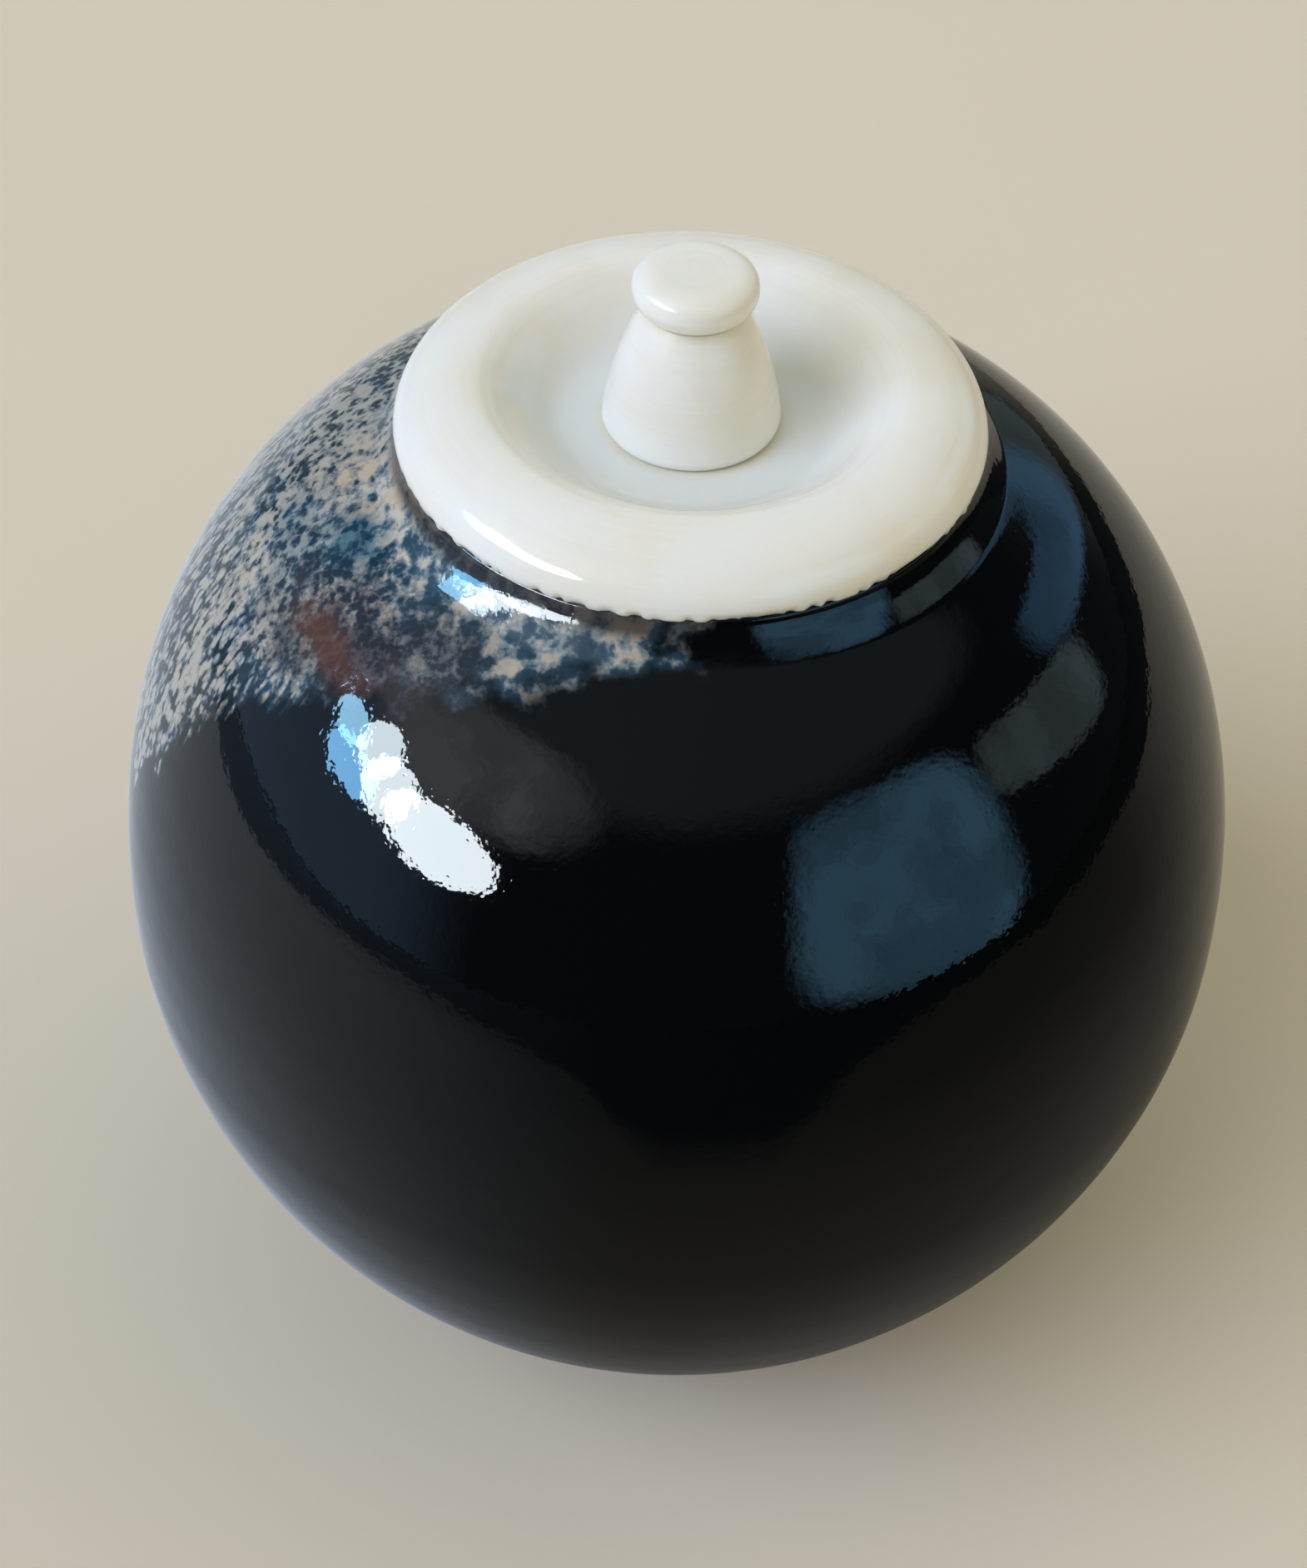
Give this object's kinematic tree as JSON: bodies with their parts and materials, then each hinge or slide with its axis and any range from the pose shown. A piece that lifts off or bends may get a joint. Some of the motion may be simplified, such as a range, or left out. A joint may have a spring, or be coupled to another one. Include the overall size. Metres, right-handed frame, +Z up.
{
  "type": "ceramic tea caddy",
  "caption": "Round glazed stoneware tea caddy with a short flared neck and a turned, ivory-coloured lid that lifts off by its knob.",
  "frame": {"origin": "centre of the flat foot, on the surface that the caddy stands on", "axes": "+Z up along the axis that the pot was thrown and the lid was turned about; the pictured side faces -Y, and the speckled run is on the -X side"},
  "size_m": [0.07, 0.07, 0.0764],
  "materials": {
    "glazed_stoneware": "deep gloss black glaze with a speckled ash run on one shoulder",
    "ivory_resin": "turned and polished, soft gloss, slightly see-through",
    "gold_leaf_paper": "gold leaf on paper"
  },
  "bodies": {
    "jar": {"jar_body": "glazed_stoneware"},
    "lid": {"lid_disc": "ivory_resin", "lid_knob": "ivory_resin", "lid_lining": "gold_leaf_paper"}
  },
  "joints": [
    {"name": "lid_lift", "type": "slide", "parent": "jar", "child": "lid", "axis": [0, 0, 1], "range_m": [0, 0.05]}
  ]
}
